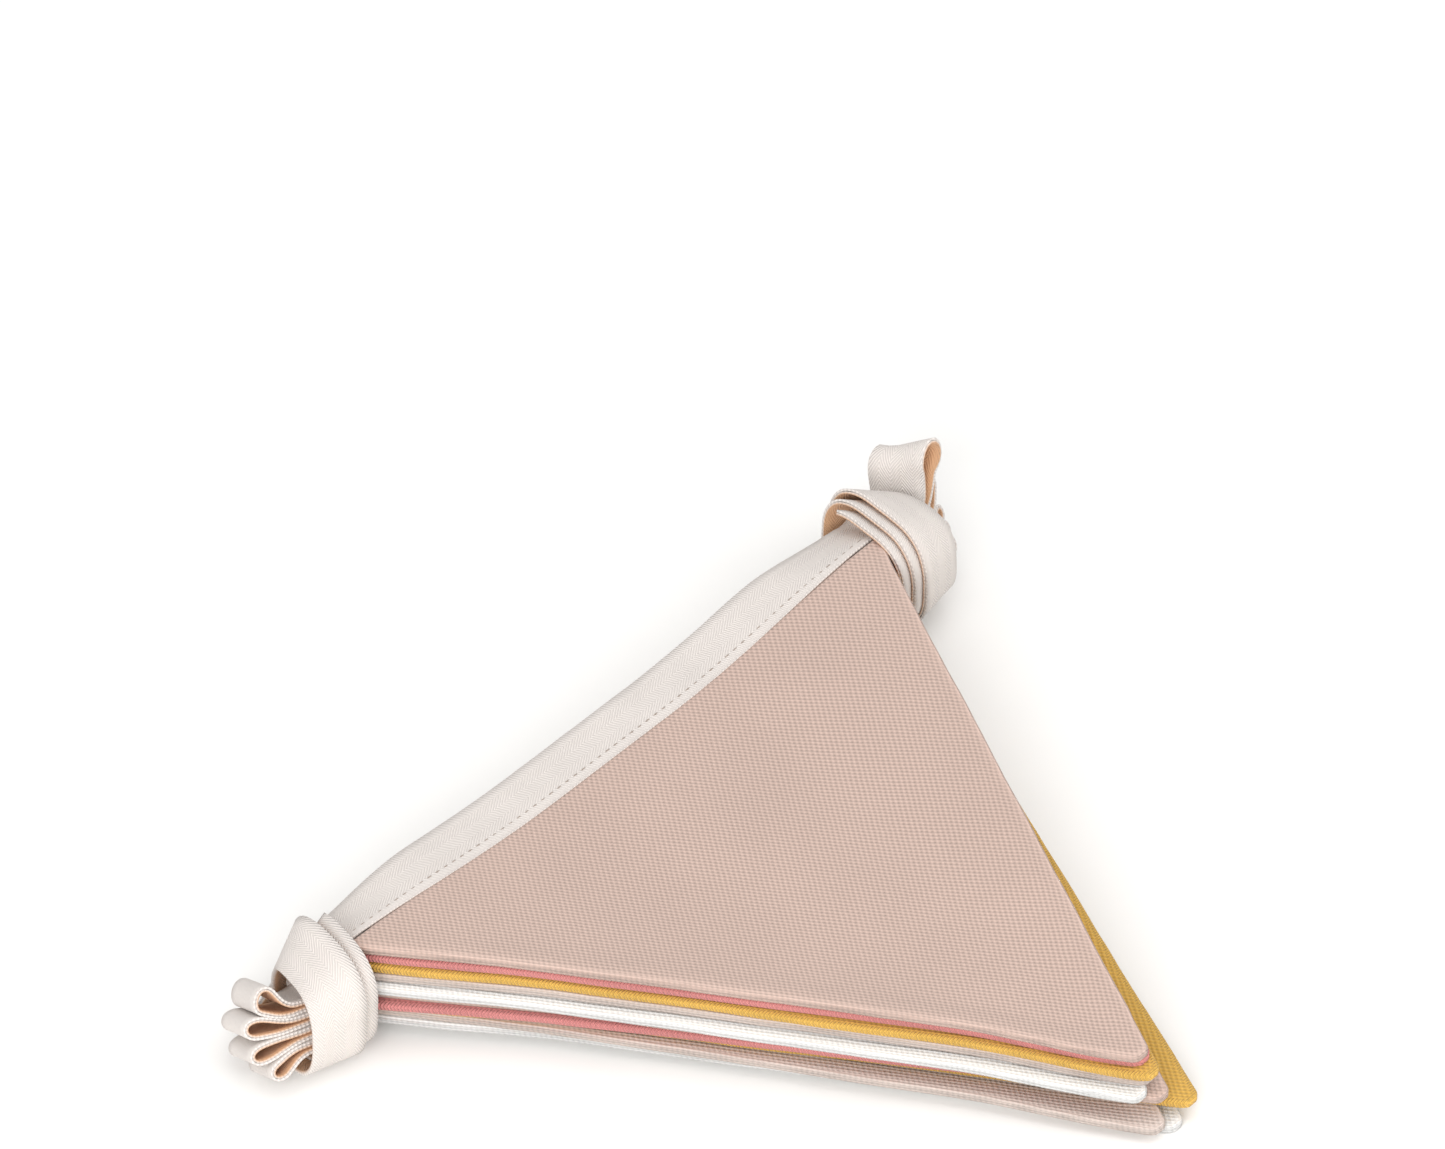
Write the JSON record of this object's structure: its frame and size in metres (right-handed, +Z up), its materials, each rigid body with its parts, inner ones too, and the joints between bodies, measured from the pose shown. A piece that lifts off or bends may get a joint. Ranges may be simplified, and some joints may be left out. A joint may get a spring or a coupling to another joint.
{
  "type": "fabric bunting",
  "caption": "String of triangular canvas flags on a folded cotton tape, folded into a flat stack with its tape wound round both ends",
  "frame": {"origin": "centre of the underside of the bounding box, on the surface that the stack rests on", "axes": "+X along the tape of the top flag, from its left end to its right end; flags point towards -Y; +Z up through the stack"},
  "size_m": [0.2637, 0.2032, 0.0404],
  "materials": {
    "canvas_white": "plain-woven cotton canvas, white",
    "canvas_beige": "plain-woven cotton canvas, pale beige",
    "canvas_mustard": "plain-woven cotton canvas, mustard yellow",
    "canvas_pink": "plain-woven cotton canvas, dusty pink",
    "canvas_peach": "plain-woven cotton canvas, peach",
    "cotton_tape": "natural cotton twill tape folded double"
  },
  "bodies": {
    "root": {"flag_01_white": "canvas_white", "flag_02_beige": "canvas_beige", "flag_03_mustard": "canvas_mustard", "flag_04_pink": "canvas_pink", "flag_05_peach": "canvas_peach", "flag_06_white": "canvas_white", "flag_07_beige": "canvas_beige", "flag_08_mustard": "canvas_mustard", "flag_09_pink": "canvas_pink", "flag_10_peach": "canvas_peach", "tape": "cotton_tape", "winding_left": "cotton_tape", "winding_right": "cotton_tape"}
  },
  "joints": []
}
